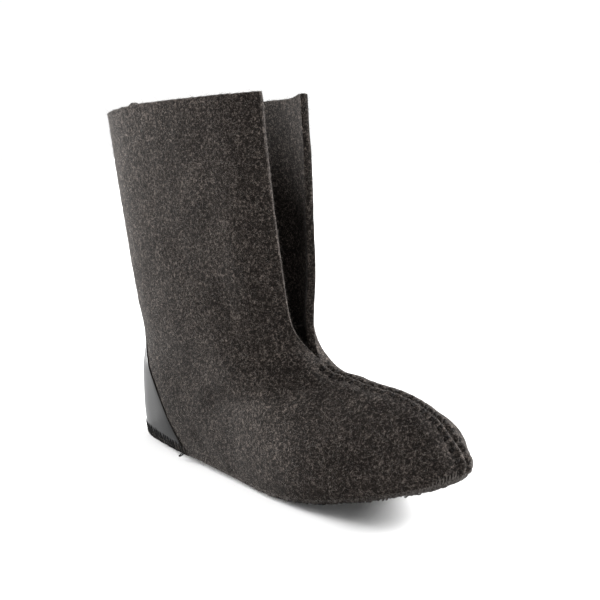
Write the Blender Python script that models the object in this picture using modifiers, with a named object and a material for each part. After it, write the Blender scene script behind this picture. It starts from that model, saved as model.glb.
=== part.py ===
"""Felt boot liner for a right foot: a hollow felt upper overlocked to a felt sole, with a vinyl heel patch.

Sizes are in millimetres and become metres when a mesh is made. Inside this file a point is (x, g, z): x to
the wearer's left, g forward from the heel, z up from the floor. In Blender's frame the toe points along -Y.
"""

import bmesh
import bpy
import numpy as np

MM = 0.001

# Driving sizes
FELT = 5.5
GAP = 0.3
SEAM_RAISE = 1.3
VAMP_SEAM_HALF = 8.0
BACK_SEAM_HALF = 5.0
SPRING_START = 166.0
SPRING_RISE = 27.5
SPRING_POWER = 1.5
ROLL_WIDTH = 12.0
COUNTER_TOP = 108.0
COUNTER_HALF = 88.0
COUNTER_FALL = 1.0
COUNTER_ROUND = 0.85
COUNTER_END = 0.985
COUNTER_THICK = 1.2
COUNTER_SUNK = 0.7
COUNTER_EDGE_GAP = 0.5
CUTTER_REACH = 4.0

# The last, one row for each section from the floor to the collar. A section is a tilted plane from a point
# on the back line to a point on the front line. Its half widths lie at four shares of the way between the
# two, and edge is half the gap of the open front. turn says how far the section bends round at its front:
# 180 closes it.
COLUMNS = ("front", "front_z", "back", "back_z", "heel", "waist", "ball", "toe", "edge", "turn")
LAST = (
    (286.5, 2.0, -1.5, 1.0, 27.0, 44.0, 53.0, 34.5, 0.0, 180.0),
    (289.0, 6.0, -3.0, 6.0, 29.5, 45.5, 55.0, 36.5, 0.0, 180.0),
    (288.0, 16.0, -3.5, 16.0, 31.5, 46.0, 57.0, 36.5, 0.0, 180.0),
    (279.5, 30.0, -3.5, 29.0, 33.0, 45.0, 55.5, 32.5, 0.0, 180.0),
    (268.0, 44.5, -3.5, 42.0, 33.0, 42.5, 51.0, 28.0, 0.0, 180.0),
    (245.0, 60.5, -3.0, 54.0, 32.5, 39.5, 42.5, 23.5, 0.0, 180.0),
    (218.5, 70.0, -2.5, 64.0, 31.5, 38.0, 38.5, 21.5, 0.0, 180.0),
    (192.0, 77.0, -1.0, 74.0, 29.5, 37.0, 37.0, 21.0, 0.0, 180.0),
    (170.0, 90.0, 0.5, 87.0, 27.5, 36.0, 35.5, 21.5, 0.0, 180.0),
    (155.5, 112.0, -5.0, 108.0, 27.0, 34.5, 33.0, 25.0, 11.0, 125.0),
    (152.0, 147.5, -12.5, 142.0, 27.5, 34.5, 34.0, 29.5, 18.0, 105.0),
    (147.0, 195.0, -21.5, 186.0, 28.0, 35.0, 35.5, 31.5, 22.0, 95.0),
    (142.5, 236.0, -29.5, 228.0, 28.0, 36.0, 36.0, 31.5, 24.5, 95.0),
    (138.0, 278.5, -37.0, 268.5, 28.0, 36.0, 36.0, 31.5, 26.0, 95.0),
)
SHARES = np.array([0.12, 0.42, 0.70, 0.90])
# Just short of its two ends a section keeps this much of its heel and toe half widths, so both are round.
END_SHARE = 0.03
HEEL_ROUND = 0.66
TOE_ROUND = 0.64
OPEN_EDGE_ROUND = 0.35
# The medial side of the foot, as shares of the half widths above: a waist at the arch and a fuller toe.
MEDIAL = np.array([1.0, 0.9, 1.0, 1.05])
MEDIAL_FULL_ROW = 4

# Rows of the table that have a meaning, and heights between rows
RIM, JOINT, THROAT, COLLAR = 0, 1, 8, 13
SEAM_LOW = 0.3
SEAM_HIGH = 1.5
SEAM_ROWS = (SEAM_LOW, 0.65, JOINT, SEAM_HIGH)
SEAM_CLEAR = 0.04
LATERAL, MEDIAL_SIDE = -1, 1

# Fineness of the meshes
SAMPLES = 241
ROW_STEP = 0.05
ON_MIDDLE = 1e-9
SHARP_DEGREES = 40
WALL_COLUMNS = 22
COLUMN_CROWD = 0.4
FOOT_ROWS = np.arange(JOINT, THROAT, 0.5)
SHAFT_ROWS = np.array([8.0, 8.25, 8.5, 8.75, 9.0, 9.5, 10.0, 10.5, 11.0, 11.5, 12.0, 12.5, 13.0])
SOLE_LINES = np.array([-1.0, -0.88, -0.7, -0.4, 0.0, 0.4, 0.7, 0.88, 1.0])
COUNTER_ROWS = 16
COUNTER_CROWD = 1.8
COUNTER_COLUMNS = 15

LAST_TABLE = np.array(LAST)


# The last as a function

def smooth_path(knots, values, at):
    """A cubic through the values at the knots, with slopes from both neighbours and straight ends."""
    knots = np.asarray(knots, float)
    values = np.asarray(values, float).reshape(len(knots), -1)
    ends = [2 * knots[0] - knots[1]], [2 * knots[-1] - knots[-2]]
    step = np.diff(np.concatenate([ends[0], knots, ends[1]]))[:, None]
    beyond = 2 * values[:1] - values[1:2], 2 * values[-1:] - values[-2:-1]
    rate = np.diff(np.concatenate([beyond[0], values, beyond[1]]), axis=0) / step
    slope = (rate[:-1] * step[1:] + rate[1:] * step[:-1]) / (step[:-1] + step[1:])
    at = np.atleast_1d(np.asarray(at, float))
    i = np.clip(np.searchsorted(knots, at, side="right") - 1, 0, len(knots) - 2)
    width = (knots[i + 1] - knots[i])[:, None]
    t = (at - knots[i])[:, None] / width
    start = (2 * t**3 - 3 * t**2 + 1) * values[i] + (t**3 - 2 * t**2 + t) * width * slope[i]
    return start + (3 * t**2 - 2 * t**3) * values[i + 1] + (t**3 - t**2) * width * slope[i + 1]


FINE_ROWS = np.linspace(RIM, COLLAR, SAMPLES)
FINE_TABLE = smooth_path(range(len(LAST)), LAST_TABLE, FINE_ROWS)
TOE = FINE_TABLE[:, COLUMNS.index("front")].max()
COLLAR_BACK = LAST[COLLAR][COLUMNS.index("back")]
MIDDLE_G = (TOE + COLLAR_BACK) / 2


def ground(g):
    """Height of the sole's underside along the foot: flat from heel to ball, then toe spring."""
    spring = np.clip((g - SPRING_START) / (TOE - SPRING_START), 0, None) ** SPRING_POWER
    return SPRING_RISE * spring


def section(u, side):
    """Points of one side of the section at row u, from the back line to the front line."""
    row = dict(zip(COLUMNS, smooth_path(range(len(LAST)), LAST_TABLE, u)[0]))
    turn = np.radians(min(row["turn"], 180.0))
    edge = max(row["edge"], 0.0) if u > THROAT else 0.0
    span = 1 - np.cos(turn)
    way = np.linspace(0, 1, SAMPLES)
    halves = np.array([row[name] for name in ("heel", "waist", "ball", "toe")])
    if side == MEDIAL_SIDE:
        fade = np.clip((THROAT - u) / (THROAT - MEDIAL_FULL_ROW), 0, 1)
        halves = halves * (1 + (MEDIAL - 1) * fade)
    heel, toe = halves[0], halves[-1]
    toe_round = OPEN_EDGE_ROUND + (TOE_ROUND - OPEN_EDGE_ROUND) * (1 - edge / toe) ** 2
    shares = np.array([END_SHARE, *SHARES, 1 - END_SHARE])
    knots = [0, *np.arccos(1 - shares * span) / turn, 1]
    values = [0, heel * HEEL_ROUND, *halves, edge + (toe - edge) * toe_round, edge]
    half = np.maximum(smooth_path(knots, values, way)[:, 0], 0)
    share = (1 - np.cos(way * turn)) / span
    g = row["back"] + (row["front"] - row["back"]) * share
    z = row["back_z"] + (row["front_z"] - row["back_z"]) * share + ground(g)
    return np.stack([side * half, g, z], axis=1)


def girth(u, side):
    """Length of one side of the section, from the back line to the front line."""
    return np.linalg.norm(np.diff(section(u, side), axis=0), axis=1).sum()


def wall(u, side, arcs, lift=0.0):
    """Points of the outer wall at row u, at these lengths from the back line, lifted square off the wall."""
    here = section(u, side)
    rise = section(min(u + ROW_STEP, COLLAR), side) - section(max(u - ROW_STEP, RIM), side)
    normal = np.cross(np.gradient(here, axis=0), rise) * side
    normal[np.abs(here[:, 0]) < ON_MIDDLE, 0] = 0
    normal /= np.linalg.norm(normal, axis=1)[:, None]
    reach = np.concatenate([[0], np.cumsum(np.linalg.norm(np.diff(here, axis=0), axis=1))])
    lifted = here + lift * normal
    return np.stack([np.interp(arcs, reach, lifted[:, k]) for k in range(3)], axis=1)


def wall_arcs(u, side):
    """Where the columns of the wall lie: closer at heel and toe, and one on each edge of the two seams."""
    total = girth(u, side)
    even = np.linspace(0, 1, WALL_COLUMNS)
    crowded = even - COLUMN_CROWD * np.sin(2 * np.pi * even) / (2 * np.pi)
    middle = BACK_SEAM_HALF + (total - VAMP_SEAM_HALF - BACK_SEAM_HALF) * crowded
    return np.array([0, *middle, total - VAMP_SEAM_HALF / 2, total])


def wall_ring(u, lift=0.0):
    """The whole section at row u, from the medial front round the back to the lateral front."""
    medial = wall(u, MEDIAL_SIDE, wall_arcs(u, MEDIAL_SIDE), lift)
    lateral = wall(u, LATERAL, wall_arcs(u, LATERAL), lift)
    return np.concatenate([medial[::-1], lateral[1:]])


def front_band(u, lift):
    """The section's last columns on both sides of the vamp ridge, from lateral to medial."""
    lateral = wall(u, LATERAL, wall_arcs(u, LATERAL)[-3:], lift)
    medial = wall(u, MEDIAL_SIDE, wall_arcs(u, MEDIAL_SIDE)[-3:], lift)
    return np.concatenate([lateral, medial[-2::-1]])


def back_band(u, lift):
    """The section's first columns on both sides of the back line, from medial to lateral."""
    medial = wall(u, MEDIAL_SIDE, wall_arcs(u, MEDIAL_SIDE)[:2], lift)
    lateral = wall(u, LATERAL, wall_arcs(u, LATERAL)[:2], lift)
    return np.concatenate([medial[::-1], lateral[1:]])


def back_row(z):
    """The row whose section starts at this height on the back line."""
    return np.interp(z, FINE_TABLE[:, COLUMNS.index("back_z")], FINE_ROWS)


def counter_outline():
    """Rows of the heel patch with half its width at each, closer together where it rounds in at the top."""
    low = LAST[JOINT][COLUMNS.index("back_z")]
    start = SEAM_HIGH + SEAM_CLEAR
    start_share = (wall(start, LATERAL, [0.0])[0, 2] - low) / (COUNTER_TOP - low)
    crowded = 1 - np.linspace(1, 0, COUNTER_ROWS) ** COUNTER_CROWD
    shares = start_share + (COUNTER_END - start_share) * crowded
    rows = [back_row(low + share * (COUNTER_TOP - low)) for share in shares]
    return rows, COUNTER_HALF * (1 - shares**COUNTER_FALL) ** COUNTER_ROUND


def counter_band(u, half, lift):
    """A row of points across the heel patch, from medial to lateral."""
    arcs = np.linspace(0, half, COUNTER_COLUMNS // 2 + 1)
    medial = wall(u, MEDIAL_SIDE, arcs, lift)
    lateral = wall(u, LATERAL, arcs, lift)
    return np.concatenate([medial[::-1], lateral[1:]])


# Meshes

def place(point):
    x, g, z = point
    return x * MM, (MIDDLE_G - g) * MM, z * MM


def grid_faces(bm, rows, flip=False):
    """Faces between rows of vertices. A row that repeats one vertex comes to a point."""
    for low, high in zip(rows, rows[1:]):
        for j in range(len(low) - 1):
            corners = list(dict.fromkeys([low[j], low[j + 1], high[j + 1], high[j]]))
            bm.faces.new(corners[::-1] if flip else corners)


def grid_verts(bm, grid):
    return [[bm.verts.new(place(point)) for point in row] for row in grid]


def new_object(name, bm, collection, material=None):
    mesh = bpy.data.meshes.new(name)
    bm.to_mesh(mesh)
    bm.free()
    mesh.shade_smooth()
    mesh.set_sharp_from_angle(angle=np.radians(SHARP_DEGREES))
    obj = bpy.data.objects.new(name, mesh)
    collection.objects.link(obj)
    if material:
        mesh.materials.append(material)
    return obj


def slab(name, outer, inner, collection, material=None, ring=False):
    """A closed sheet between two grids of points. A ring also joins its last column to its first."""
    bm = bmesh.new()
    top = grid_verts(bm, outer)
    bottom = grid_verts(bm, inner)
    if ring:
        top = [row + row[:1] for row in top]
        bottom = [row + row[:1] for row in bottom]
    grid_faces(bm, top)
    grid_faces(bm, bottom, flip=True)
    for end, flip in ((0, True), (-1, False)):
        grid_faces(bm, [top[end], bottom[end]], flip)
        if not ring:
            grid_faces(bm, [[row[end] for row in top], [row[end] for row in bottom]], not flip)
    bmesh.ops.recalc_face_normals(bm, faces=bm.faces)
    return new_object(name, bm, collection, material)


def make_upper(collection, material):
    """One open sheet, closed along the vamp ridge up to the throat, and thickened inwards."""
    bm = bmesh.new()
    rows = []
    for u in (*FOOT_ROWS, *SHAFT_ROWS):
        points = wall_ring(u)
        if u == JOINT:
            points[:, 2] += GAP
        verts = [bm.verts.new(place(point)) for point in points[:-1]]
        closed = u <= THROAT
        rows.append(verts + [verts[0] if closed else bm.verts.new(place(points[-1]))])
    grid_faces(bm, rows)
    upper = new_object("upper", bm, collection, material)
    solidify = upper.modifiers.new("felt wall", "SOLIDIFY")
    solidify.thickness = FELT * MM
    solidify.offset = -1
    solidify.use_even_offset = True
    return upper


def make_sole(collection, material):
    """A felt slab with the last's outline, a rolled rim and toe spring."""
    bm = bmesh.new()
    edge = [wall_ring(u) for u in (RIM, *SEAM_ROWS[:-1])]
    rings = [[bm.verts.new(place(point)) for point in ring[:-1]] for ring in edge]
    grid_faces(bm, [ring + ring[:1] for ring in rings])
    back = len(edge[0]) // 2
    for level, flip in ((-1, True), (0, False)):
        ring, points = rings[level], edge[level]
        lines = [[ring[0]] * len(SOLE_LINES)]
        for k in range(1, back):
            medial, lateral = points[k], points[-1 - k]
            line = [ring[k]]
            for share in SOLE_LINES[1:-1]:
                point = medial + (lateral - medial) * (share + 1) / 2
                floor = ground(point[1])
                inset = (1 - abs(share)) * (medial[0] - lateral[0]) / 2
                roll = np.clip(1 - inset / ROLL_WIDTH, 0, 1) ** 2
                rim = (medial[2] + lateral[2]) / 2 - floor
                point[2] = floor + (rim * roll if level == 0 else rim)
                line.append(bm.verts.new(place(point)))
            lines.append(line + [ring[-k]])
        lines.append([ring[back]] * len(SOLE_LINES))
        grid_faces(bm, lines, flip)
    bmesh.ops.recalc_face_normals(bm, faces=bm.faces)
    return new_object("sole", bm, collection, material)


def make_heel_counter(upper, parts, cutters, material):
    """The vinyl patch, and the bed that is cut for it in the upper's wall."""
    rows, halves = counter_outline()
    underside = -COUNTER_SUNK - COUNTER_THICK
    top = [counter_band(u, half, -COUNTER_SUNK) for u, half in zip(rows, halves)]
    bottom = [counter_band(u, half, underside) for u, half in zip(rows, halves)]
    counter = slab("heel_counter", top, bottom, parts, material)
    bed_rows = [rows[0] - SEAM_CLEAR, *rows, rows[-1] + SEAM_CLEAR]
    bed_halves = np.array([halves[0], *halves, halves[-1]]) + COUNTER_EDGE_GAP
    outside = [counter_band(u, half, CUTTER_REACH) for u, half in zip(bed_rows, bed_halves)]
    inside = [counter_band(u, half, underside - GAP) for u, half in zip(bed_rows, bed_halves)]
    cutter = slab("heel_counter_bed", outside, inside, cutters)
    cutter.hide_render = True
    cutter.display_type = "WIRE"
    cut = upper.modifiers.new("bed of the heel patch", "BOOLEAN")
    cut.operation = "DIFFERENCE"
    cut.solver = "MANIFOLD"
    cut.object = cutter
    return counter


def make_vamp_seam(collection, material):
    rows = [SEAM_HIGH + SEAM_CLEAR, *FOOT_ROWS[FOOT_ROWS > SEAM_HIGH], THROAT]
    top = [front_band(u, GAP + SEAM_RAISE) for u in rows]
    bottom = [front_band(u, GAP) for u in rows]
    return slab("vamp_seam", top, bottom, collection, material)


def make_sole_seam(collection, material):
    top = [wall_ring(u, GAP + SEAM_RAISE)[:-1] for u in SEAM_ROWS]
    bottom = [wall_ring(u, GAP)[:-1] for u in SEAM_ROWS]
    return slab("sole_seam", top, bottom, collection, material, ring=True)


def make_back_seam(collection, material):
    start = back_row(COUNTER_TOP + GAP)
    rows = [start, *SHAFT_ROWS[SHAFT_ROWS > start]]
    top = [back_band(u, GAP + SEAM_RAISE) for u in rows]
    bottom = [back_band(u, GAP) for u in rows]
    return slab("back_seam", top, bottom, collection, material)


# Materials and the scene

def make_material(name, color, roughness):
    material = bpy.data.materials.new(name)
    material.use_nodes = True
    shader = material.node_tree.nodes["Principled BSDF"]
    shader.inputs["Base Color"].default_value = (*color, 1.0)
    shader.inputs["Roughness"].default_value = roughness
    shader.inputs["Metallic"].default_value = 0.0
    return material


def new_collection(name):
    collection = bpy.data.collections.new(name)
    bpy.context.scene.collection.children.link(collection)
    return collection


def main():
    for obj in list(bpy.data.objects):
        bpy.data.objects.remove(obj, do_unlink=True)
    parts = new_collection("felt_boot_liner")
    cutters = new_collection("cutters")
    felt = make_material("charcoal_felt", (0.052, 0.045, 0.042), 0.95)
    sole_felt = make_material("sole_felt", (0.045, 0.040, 0.037), 0.95)
    vinyl = make_material("heel_vinyl", (0.060, 0.060, 0.062), 0.38)
    thread = make_material("overlock_thread", (0.020, 0.019, 0.018), 0.70)
    upper = make_upper(parts, felt)
    make_sole(parts, sole_felt)
    make_heel_counter(upper, parts, cutters, vinyl)
    make_vamp_seam(parts, thread)
    make_sole_seam(parts, thread)
    make_back_seam(parts, thread)


main()
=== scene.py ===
"""Looks of the felt boot liner: fine felt, nap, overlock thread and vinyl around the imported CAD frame.

A point is (x, g, z) in millimetres, as in the part's source: x to the wearer's left, g forward from the heel
and z up. It becomes metres in the row frame when a mesh is made, with the toe along -Y.
"""

import functools
import math

import bmesh
import bpy
import numpy as np
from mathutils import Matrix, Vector, noise


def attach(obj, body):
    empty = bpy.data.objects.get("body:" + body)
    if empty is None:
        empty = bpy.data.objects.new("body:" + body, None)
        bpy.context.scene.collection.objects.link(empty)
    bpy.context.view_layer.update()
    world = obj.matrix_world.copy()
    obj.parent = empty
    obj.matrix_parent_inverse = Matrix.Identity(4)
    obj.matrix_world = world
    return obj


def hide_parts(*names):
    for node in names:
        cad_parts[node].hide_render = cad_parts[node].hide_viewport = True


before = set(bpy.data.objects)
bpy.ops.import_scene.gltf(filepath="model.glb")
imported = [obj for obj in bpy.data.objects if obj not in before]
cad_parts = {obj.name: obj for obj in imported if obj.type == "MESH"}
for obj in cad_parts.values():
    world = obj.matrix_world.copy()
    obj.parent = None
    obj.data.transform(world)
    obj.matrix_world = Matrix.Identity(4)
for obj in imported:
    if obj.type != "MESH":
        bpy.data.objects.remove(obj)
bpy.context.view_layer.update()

MM = 0.001
TINY = 1e-9
SEED = 41

# Sizes of the last, the same as in the part's source
FELT = 5.5
SPRING_START, SPRING_RISE, SPRING_POWER = 166.0, 27.5, 1.5
ROLL_WIDTH = 12.0
COUNTER_TOP, COUNTER_HALF, COUNTER_FALL, COUNTER_ROUND = 108.0, 88.0, 1.0, 0.85
COUNTER_END, COUNTER_THICK, COUNTER_SUNK = 0.985, 1.2, 0.7
COLUMNS = ("front", "front_z", "back", "back_z", "heel", "waist", "ball", "toe", "edge", "turn")
LAST = (
    (286.5, 2.0, -1.5, 1.0, 27.0, 44.0, 53.0, 34.5, 0.0, 180.0),
    (289.0, 6.0, -3.0, 6.0, 29.5, 45.5, 55.0, 36.5, 0.0, 180.0),
    (288.0, 16.0, -3.5, 16.0, 31.5, 46.0, 57.0, 36.5, 0.0, 180.0),
    (279.5, 30.0, -3.5, 29.0, 33.0, 45.0, 55.5, 32.5, 0.0, 180.0),
    (268.0, 44.5, -3.5, 42.0, 33.0, 42.5, 51.0, 28.0, 0.0, 180.0),
    (245.0, 60.5, -3.0, 54.0, 32.5, 39.5, 42.5, 23.5, 0.0, 180.0),
    (218.5, 70.0, -2.5, 64.0, 31.5, 38.0, 38.5, 21.5, 0.0, 180.0),
    (192.0, 77.0, -1.0, 74.0, 29.5, 37.0, 37.0, 21.0, 0.0, 180.0),
    (170.0, 90.0, 0.5, 87.0, 27.5, 36.0, 35.5, 21.5, 0.0, 180.0),
    (155.5, 112.0, -5.0, 108.0, 27.0, 34.5, 33.0, 25.0, 11.0, 125.0),
    (152.0, 147.5, -12.5, 142.0, 27.5, 34.5, 34.0, 29.5, 18.0, 105.0),
    (147.0, 195.0, -21.5, 186.0, 28.0, 35.0, 35.5, 31.5, 22.0, 95.0),
    (142.5, 236.0, -29.5, 228.0, 28.0, 36.0, 36.0, 31.5, 24.5, 95.0),
    (138.0, 278.5, -37.0, 268.5, 28.0, 36.0, 36.0, 31.5, 26.0, 95.0),
)
SHARES = np.array([0.12, 0.42, 0.70, 0.90])
END_SHARE, HEEL_ROUND, TOE_ROUND, OPEN_EDGE_ROUND = 0.03, 0.66, 0.64, 0.35
MEDIAL = np.array([1.0, 0.9, 1.0, 1.05])
MEDIAL_FULL_ROW = 4
RIM, JOINT, THROAT, COLLAR = 0, 1, 8, 13
SEAM_TOP = 1.5
LATERAL, MEDIAL_SIDE = -1, 1
SAMPLES = 241
ROW_STEP = 0.05
LAST_TABLE = np.array(LAST)

# Felt mesh; DIP, FAR_DIP and their like below are tables of places and the values there
FOOT_STEPS, SHAFT_STEPS, SIDE_COLUMNS = 18, 18, 150
COLUMN_CROWD = 0.5
NAP = 0.5
UPPER_SHARP, SOLE_SHARP, PATCH_SHARP = 50, 60, 40
NUB_AT, NUB_WIDE, NUB_HEIGHT = -70.5, 3.0, 2.0
DIP = (-26.0, -14.0, 0.0, 10.0, 25.0), (3.2, 2.2, 1.3, 0.9, 0.0)
FAR_DIP = (25.0, 60.0, 124.0, 133.0), (0.0, 2.0, 2.2, 0.0)
DIP_FROM = 215.0

# Cut edges of the felt: layers with their share of the way through it and their bulge
EDGE_ROUND, EDGE_STEPS = 0.9, 3
EDGE_LAYERS = ((0.16, 0.75), (0.5, 1.1), (0.84, 0.75))

# Lumps in the felt: size, height and seed; the last two heights are plain factors
LUMP_SHIFT = (17.3, 5.1, 9.7)
SLOW_LUMPS, QUICK_LUMPS, FINE_LUMPS = (34.0, 0.55, 1), (7.0, 0.2, 2), (2.8, 0.08, 3)
INNER_LUMPS, EDGE_LUMPS = (7.0, 0.3, 4), (4.0, 0.35, 5)
RAGGED_LUMPS, SOLE_LUMPS = (5.0, 1.0, 6), (4.0, 2.0, 7)

# Sole
SOLE_RINGS = (0.0, 0.12, 0.28, 0.46, 0.64, 0.82, 1.0)
SOLE_ACROSS = 18
SOLE_CROWN, SOLE_LOWEST, SOLE_NAP = 0.4, 0.15, 0.12
CURL = (-10.0, 0.0, 40.0, 85.0, 120.0, 150.0), (0.0, 1.8, 2.4, 2.6, 1.2, 0.0)
RAGGED = (140.0, 190.0, 250.0), (0.25, 1.1, 2.0)
RAGGED_WAY = (1.0, 1.0, 0.5)

# Heel patch, its bed in the felt and the bead along its cut edge
BED_ROWS, BED_COLUMNS = 36, 30
BED_GAP, BED_DEEP, BED_ABOVE = 1.1, 2.4, 4.0
PATCH_ROWS, PATCH_COLUMNS, PATCH_CROWD = 60, 48, 1.8
PATCH_ROLL, PATCH_END_ROLL, PATCH_LOW, PATCH_RISE = 0.08, 0.04, 0.1, 0.45
# The bead's black is partly the vinyl's cut edge and partly painted shade in the joint
EDGE_BEAD = (15.0, 75.0), (0.95, 0.55)
EDGE_BEAD_COLUMNS, EDGE_BEAD_LIFT, EDGE_BEAD_OUT = 2, 0.5, 0.6

# Seams: lengths along the ridge count from the toe, lengths up the back from the sole
VAMP_FIRST, VAMP_END, VAMP_PITCH, VAMP_SPREAD = 4.0, 4.0, 7.8, 1.5
NEEDLE = (0.0, 12.0, 28.0, 50.0, 100.0), (6.0, 8.0, 5.0, 3.6, 5.6)
BOLD = (4.0, 30.0, 50.0, 62.0, 100.0, 114.0), (0.6, 0.85, 0.9, 0.3, 0.3, 1.0)
BACK_FIRST, BACK_END, BACK_PITCH, BACK_NEEDLE = 4.0, 2.0, 8.0, 4.5
SEAM_BEYOND, SEAM_FADE = 5.0, 4.0
STITCH_SLANT = 0.25
LIP_AT, LIP_WIDE, LIP_HEIGHT = 3.4, 2.8, 1.9
GROOVE_WIDE, GROOVE_DEEP = 1.3, 1.0
PULL_WIDE, PULL_SHARE = 1.6, 0.6
PIT_WIDE, PIT_DEEP = 2.0, 2.6
THREAD, HEEL_THREAD, VAMP_THREAD, BACK_THREAD = 0.42, 0.95, 1.3, 1.0
STITCH_POINTS, STITCH_REACH, STITCH_SHOWN = 17, 1.6, 1.1
STITCH_FAINT, STITCH_SUNK = 2.0, 2.4

# End of the back thread over the collar: row, lift off the wall and rise of each point
BACK_END_SHIFTS, BACK_END_THREAD = (-1.8, 0.0, 1.8), 1.2
BACK_END_LOOP = ((12.85, 1.2, -3.4), (13.0, 1.0, -3.6), (13.0, -1.0, -3.0), (13.0, -4.5, -3.0),
                 (13.0, -6.2, -3.8), (12.8, -6.0, -3.4))

# Thread of the sole: its way down to the rim as rows and shares of a stitch; it comes up the same way
FINE_TURNS = 2001
SOLE_PITCHES = (60.0, 85.0, 225.0, 260.0), (3.8, 3.3, 3.3, 2.5)
WRAP_DOWN = ((1.46, 0.0), (1.2, 0.1), (0.85, 0.2), (0.5, 0.31), (0.15, 0.42))
WRAP_TURN, WRAP_INSET = 0.5, 2.8
STITCH_SCATTER, TOP_SCATTER, WRAP_SCATTER = 0.14, 0.5, 0.08
RETURN_SUNK = 1.6
HEEL_ZONE = (66.0, 78.0)
HEEL_ROWS_AT, HEEL_ROWS = (0.0, 62.0, 70.0), (1.4, 1.12, 1.0)
THREAD_RISE = (*HEEL_ZONE, 240.0, 262.0, 275.0), (0.35, -0.22, -0.2, 0.1, 0.2)
LOOSE = (150.0, 205.0, 250.0), (0.0, 0.6, 1.5)
LOOSE_ROW, LOOSE_UNDER = 0.6, 0.25
SOLE_MIDDLE = (40.0, 240.0)
CHAIN_STEPS, CHAIN_OPEN, CHAIN_THREAD = 8, 6, 0.85
CHAIN_SUNK, CHAIN_HIGHEST, CHAIN_SWAY = 0.1, -0.3, 0.5
LOOP_THREAD = 0.5
LOOP_CORNER = (-36.0, 66.5, 5.4)
LOOP_STEPS = ((3.0, 3.0, 2.5), (-1.0, 2.0, 1.5), (-3.2, 0.5, -0.6), (-4.0, -2.0, -2.6),
              (-3.2, -4.2, -3.2), (-1.4, -3.8, -2.0), (0.4, -1.0, 0.2), (3.4, 0.6, 2.0))

# Soft creases in the felt: width, depth and a path of points; a negative depth makes a ridge
CREASE_STEPS, CREASE_BANK, CREASE_BANK_AT = 12, 0.35, 1.9
CREASES = (
    (8.0, 0.9, ((-40.0, 103.0, 54.5), (-41.0, 139.0, 64.5), (-32.0, 168.0, 70.5))),
    (5.0, 0.6, ((-38.5, 86.0, 26.0), (-41.0, 98.0, 18.0), (-43.0, 110.0, 10.0))),
    (13.0, 0.7, ((-35.0, 65.0, 164.0), (-34.0, 95.0, 148.0), (-32.0, 122.0, 132.0))),
    (8.0, 0.8, ((37.0, 98.0, 58.0), (37.0, 135.0, 65.0), (29.0, 164.0, 73.0))),
    (7.0, 0.5, ((-22.0, 12.0, 106.0), (0.0, -4.0, 102.0), (22.0, 12.0, 106.0))),
    (6.5, 2.0, ((14.0, 285.0, 42.0), (22.0, 282.0, 40.8), (31.0, 275.5, 38.5))),
    (7.0, -0.9, ((10.0, 274.0, 58.0), (18.5, 270.0, 56.6), (26.0, 263.0, 53.5))),
    (9.0, -1.6, ((-8.0, 200.0, 77.6), (0.0, 198.0, 78.6), (10.0, 195.0, 78.0))),
)

# Loose fibres: the middle line of the hollow, and how many of them grow inside it
FOOT_MIDDLE, FOOT_MIDDLE_Z = (15.0, 250.0), 35.0
SHAFT_FROM = 90.0
SHAFT_MIDDLE = (90.0, 280.0), (85.0, 50.0)
INSIDE = (90.0, 200.0, 270.0), (0.04, 0.15, 0.8)
RIM_UPRIGHT = 1.5

# Form of a fibre: how far each half goes along, off the felt and sideways
FIBRE_HALVES = ((0.5, 0.5, 0.12), (0.5, 0.1, 0.45))
FIBRE_SWING, FIBRE_ROOT, FIBRE_TAPER, FIBRE_LOWEST = 0.8, 0.15, 0.75, 0.05
FIBRE_CORNERS, FIBRE_POINTS = np.radians((0, 120, 240)), 7

# Sets of fibres: name, slot, tone, number, and from which to which length, half width and steepness
NAPS = (
    ("pale_nap", "felt", "pale", 17000, (1.4, 4.5), (0.04, 0.07), (0.05, 0.4)),
    ("dark_nap", "felt", "dark", 15000, (1.4, 4.5), (0.04, 0.07), (0.05, 0.35)),
    ("long_nap", "felt", "pale", 2500, (4.0, 9.0), (0.025, 0.035), (0.2, 0.6)),
    ("short_fuzz", "felt", "pale", 10000, (0.9, 2.2), (0.03, 0.045), (0.7, 1.6)),
    ("sole_nap", "sole_felt", "pale", 4000, (1.4, 4.0), (0.05, 0.09), (0.1, 0.6)),
)

# Felt as a material: its dark and light tones, and what each noise adds to their mix
SHEEN_ROUGHNESS = 0.25
UPPER_TONES = (0.0158, 0.0129, 0.0111), (0.077, 0.0645, 0.057)
SOLE_TONES = (0.0128, 0.0105, 0.009), (0.064, 0.0535, 0.0475)
TONE_AT, DARKEST, BRIGHTEST = (0.645, 0.725, 0.82, 0.925), 0.38, 1.9
CLUMP_SHARE, GRAIN_SHARE, STREAK_SHARE, DRIFT_SHARE = 0.5, 0.3, 0.45, 0.07
STREAK_TURNS = ((0.3, 0.2, 0.1), (1.2, 0.5, 0.9), (0.4, 1.3, 2.0), (2.2, 0.8, 2.7))
STREAK_SCALE = (215.0, 1250.0, 1250.0)
STREAK_BUMP = 0.6

# Painted shade on the felt, per metre of height and of way to the back: the heel and the waist of the foot
# are painted darker
PAINTED_SHADE_UP, PAINTED_SHADE_BACK = 5.0, 2.5
PAINTED_SHADE_STOPS = ((0.15, (0.76, 0.76, 0.76)), (0.45, (1.0, 1.0, 1.0)))

# Tones of the threads from heel to toe, and of their specks; the sole thread's lighter toe is a painted
# highlight
SOLE_THREAD_AND_HIGHLIGHT_STOPS = ((0.0, (0.008, 0.0077, 0.0077)), (0.12, (0.019, 0.0165, 0.015)),
                     (0.72, (0.021, 0.018, 0.0165)), (1.0, (0.075, 0.068, 0.063)))
BLACK_THREAD_STOPS = ((0.0, (0.007, 0.006, 0.0054)), (1.0, (0.009, 0.0076, 0.0067)))
THREAD_SPECK_STOPS = ((0.35, (0.45, 0.45, 0.45)), (0.65, (1.5, 1.5, 1.5)))

# Tones of the vinyl
VINYL_STOPS = ((0.3, (0.007, 0.007, 0.0072)), (0.7, (0.011, 0.011, 0.0113)))

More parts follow.
